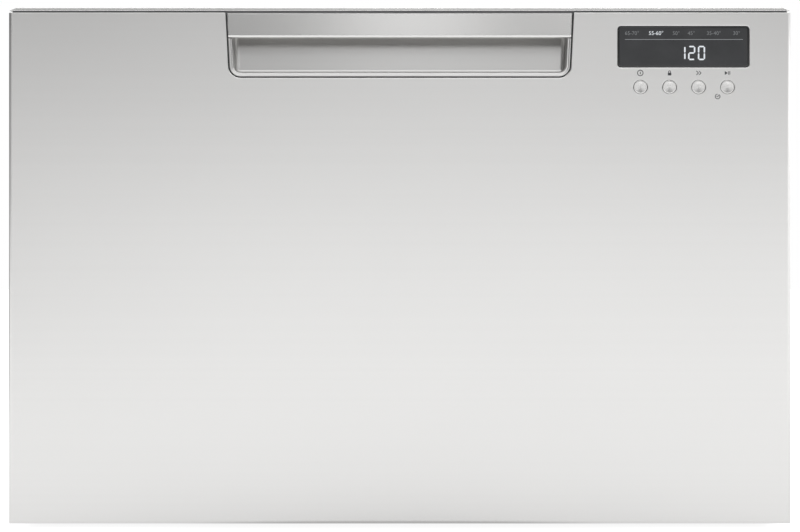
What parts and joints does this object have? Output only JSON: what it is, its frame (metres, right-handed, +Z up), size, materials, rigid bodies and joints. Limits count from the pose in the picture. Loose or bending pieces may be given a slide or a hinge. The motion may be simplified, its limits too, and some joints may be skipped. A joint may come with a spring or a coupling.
{
  "type": "dishwasher drawer",
  "caption": "Built-in dishwasher drawer: a tub on ball runners behind a brushed steel front with a scooped handle, a display window and push buttons.",
  "frame": {"origin": "on the floor under the middle of the closed appliance", "axes": "+Z up, the drawer front faces -Y, +X to the right as the front is seen"},
  "size_m": [0.599, 0.573, 0.401],
  "materials": {
    "brushed_skin": "brushed along the width",
    "window": "gloss tinted window",
    "buttons": "spun cap",
    "galvanised_sheet": "galvanised",
    "runner_steel": "zinc plated",
    "screws": "zinc plated",
    "dark_plastic": "moulded",
    "white_plastic": "moulded",
    "lid_plastic": "moulded",
    "seal_rubber": "matt",
    "hose_rubber": "matt",
    "damping_pad": "matt",
    "board": "solder mask",
    "stainless": "pressed",
    "motor_core": "laminations and copper",
    "grey_trim_plastic": "moulded",
    "coated_wire": "plastic coated"
  },
  "bodies": {
    "chassis": {"side_panels": "galvanised_sheet", "top_panel": "galvanised_sheet", "rear_panel": "galvanised_sheet", "base_pan": "dark_plastic", "front_gasket": "seal_rubber", "chassis_rails": "runner_steel", "lid_actuators": "dark_plastic", "inlet_valve": "white_plastic", "drain_outlet": "dark_plastic", "cable_gland": "dark_plastic", "controller_box": "dark_plastic", "chassis_screws": "screws", "hose_bundle": "hose_rubber"},
    "foot_front_left": {"foot_front_left": "dark_plastic"},
    "foot_front_right": {"foot_front_right": "dark_plastic"},
    "foot_rear_left": {"foot_rear_left": "dark_plastic"},
    "foot_rear_right": {"foot_rear_right": "dark_plastic"},
    "flood_float": {"flood_float": "white_plastic"},
    "lid": {"lid": "lid_plastic", "lid_seal": "seal_rubber"},
    "lid_screw_left": {"lid_screw_left": "screws"},
    "lid_screw_right": {"lid_screw_right": "screws"},
    "mid_rails": {"mid_rails": "runner_steel"},
    "outer_balls": {"outer_balls": "screws"},
    "inner_balls": {"inner_balls": "screws"},
    "drawer": {"tub": "white_plastic", "carriers": "runner_steel", "drawer_rails": "runner_steel", "front_skin": "brushed_skin", "inner_panel": "galvanised_sheet", "insulation_pad": "damping_pad", "top_trim": "brushed_skin", "handle_scoop": "brushed_skin", "handle_bar": "brushed_skin", "display_window": "window", "control_board": "board", "control_housing": "dark_plastic", "filter_plate": "stainless", "heater_plate": "stainless", "motor_housing": "dark_plastic", "motor_stator": "motor_core", "dispenser_body": "white_plastic", "fan_housing": "dark_plastic", "front_screws": "screws"},
    "power_button": {"power_button": "buttons"},
    "lock_button": {"lock_button": "buttons"},
    "next_button": {"next_button": "buttons"},
    "start_button": {"start_button": "buttons"},
    "drain_filter": {"drain_filter": "dark_plastic"},
    "pump_rotor": {"pump_rotor": "motor_core"},
    "spray_arm": {"spray_arm": "white_plastic"},
    "dispenser_door": {"dispenser_door": "grey_trim_plastic"},
    "rinse_cap": {"rinse_cap": "grey_trim_plastic"},
    "fan_wheel": {"fan_wheel": "dark_plastic"},
    "rack": {"rack_frame": "coated_wire"},
    "tines_left": {"tines_left": "grey_trim_plastic"},
    "tines_right": {"tines_right": "grey_trim_plastic"},
    "cup_shelf_left": {"cup_shelf_left": "grey_trim_plastic"},
    "cup_shelf_right": {"cup_shelf_right": "grey_trim_plastic"},
    "cutlery_basket": {"cutlery_basket": "grey_trim_plastic"}
  },
  "joints": [
    {"name": "drawer_slide", "type": "slide", "parent": "chassis", "child": "drawer", "axis": [0, -1, 0], "range_m": [0, 0.48], "deforming": ["hose_bundle"]},
    {"name": "mid_rail_slide", "type": "slide", "parent": "chassis", "child": "mid_rails", "axis": [0, -1, 0], "range_m": [0, 0.24]},
    {"name": "outer_ball_roll", "type": "slide", "parent": "chassis", "child": "outer_balls", "axis": [0, -1, 0], "range_m": [0, 0.12]},
    {"name": "inner_ball_roll", "type": "slide", "parent": "chassis", "child": "inner_balls", "axis": [0, -1, 0], "range_m": [0, 0.36]},
    {"name": "lid_lift", "type": "slide", "parent": "chassis", "child": "lid", "axis": [0, 0, -1], "range_m": [0, 0.008]},
    {"name": "lid_screw_left_turn", "type": "hinge", "parent": "chassis", "child": "lid_screw_left", "pos_m": [-0.2843, 0, 0.33], "axis": [0, 0, 1], "range_deg": [0, 396]},
    {"name": "lid_screw_right_turn", "type": "hinge", "parent": "chassis", "child": "lid_screw_right", "pos_m": [0.2843, 0, 0.33], "axis": [0, 0, 1], "range_deg": [0, 396]},
    {"name": "foot_front_left_adjust", "type": "slide", "parent": "chassis", "child": "foot_front_left", "axis": [0, 0, -1], "range_m": [0, 0.02]},
    {"name": "foot_front_right_adjust", "type": "slide", "parent": "chassis", "child": "foot_front_right", "axis": [0, 0, -1], "range_m": [0, 0.02]},
    {"name": "foot_rear_left_adjust", "type": "slide", "parent": "chassis", "child": "foot_rear_left", "axis": [0, 0, -1], "range_m": [0, 0.02]},
    {"name": "foot_rear_right_adjust", "type": "slide", "parent": "chassis", "child": "foot_rear_right", "axis": [0, 0, -1], "range_m": [0, 0.02]},
    {"name": "float_rise", "type": "slide", "parent": "chassis", "child": "flood_float", "axis": [0, 0, 1], "range_m": [0, 0.01]},
    {"name": "power_button_press", "type": "slide", "parent": "drawer", "child": "power_button", "axis": [0, 1, 0], "range_m": [0, 0.0008], "stiffness_N_per_m": 1500, "springref_m": -0.0005},
    {"name": "lock_button_press", "type": "slide", "parent": "drawer", "child": "lock_button", "axis": [0, 1, 0], "range_m": [0, 0.0008], "stiffness_N_per_m": 1500, "springref_m": -0.0005},
    {"name": "next_button_press", "type": "slide", "parent": "drawer", "child": "next_button", "axis": [0, 1, 0], "range_m": [0, 0.0008], "stiffness_N_per_m": 1500, "springref_m": -0.0005},
    {"name": "start_button_press", "type": "slide", "parent": "drawer", "child": "start_button", "axis": [0, 1, 0], "range_m": [0, 0.0008], "stiffness_N_per_m": 1500, "springref_m": -0.0005},
    {"name": "filter_twist", "type": "hinge", "parent": "drawer", "child": "drain_filter", "pos_m": [0.044, 0.038, 0.07], "axis": [0, 0, 1], "range_deg": [0, 60]},
    {"name": "pump_spin", "type": "hinge", "parent": "drawer", "child": "pump_rotor", "pos_m": [0, -0.002, 0.04], "axis": [0, 0, 1], "continuous": true},
    {"name": "spray_arm_spin", "type": "hinge", "parent": "drawer", "child": "spray_arm", "pos_m": [0, -0.002, 0.1], "axis": [0, 0, 1], "continuous": true},
    {"name": "dispenser_door_hinge", "type": "hinge", "parent": "drawer", "child": "dispenser_door", "pos_m": [-0.031, -0.227, 0.24], "axis": [-1, 0, 0], "range_deg": [0, 88]},
    {"name": "rinse_cap_twist", "type": "hinge", "parent": "drawer", "child": "rinse_cap", "pos_m": [0.04, -0.229, 0.255], "axis": [0, 1, 0], "range_deg": [0, 90]},
    {"name": "fan_spin", "type": "hinge", "parent": "drawer", "child": "fan_wheel", "pos_m": [-0.19, -0.251, 0.3], "axis": [0, 1, 0], "continuous": true},
    {"name": "rack_lift", "type": "slide", "parent": "drawer", "child": "rack", "axis": [0, 0, 1], "range_m": [0, 0.06]},
    {"name": "tines_left_fold", "type": "hinge", "parent": "rack", "child": "tines_left", "pos_m": [-0.058, -0.002, 0.13315], "axis": [0, -1, 0], "range_deg": [0, 85]},
    {"name": "tines_right_fold", "type": "hinge", "parent": "rack", "child": "tines_right", "pos_m": [0.058, -0.002, 0.13315], "axis": [0, 1, 0], "range_deg": [0, 85]},
    {"name": "cup_shelf_left_fold", "type": "hinge", "parent": "rack", "child": "cup_shelf_left", "pos_m": [-0.22975, -0.002, 0.215], "axis": [0, -1, 0], "range_deg": [0, 88]},
    {"name": "cup_shelf_right_fold", "type": "hinge", "parent": "rack", "child": "cup_shelf_right", "pos_m": [0.22975, -0.002, 0.215], "axis": [0, 1, 0], "range_deg": [0, 88]},
    {"name": "basket_lift", "type": "slide", "parent": "rack", "child": "cutlery_basket", "axis": [0, 0, 1], "range_m": [0, 0.06]}
  ],
  "couplings": [
    {"joint": "mid_rail_slide", "follows": "drawer_slide", "ratio": 0.5},
    {"joint": "outer_ball_roll", "follows": "drawer_slide", "ratio": 0.25},
    {"joint": "inner_ball_roll", "follows": "drawer_slide", "ratio": 0.75},
    {"joint": "lid_screw_left_turn", "follows": "lid_lift", "rad_per_m": 785.39},
    {"joint": "lid_screw_right_turn", "follows": "lid_lift", "rad_per_m": 785.39}
  ]
}
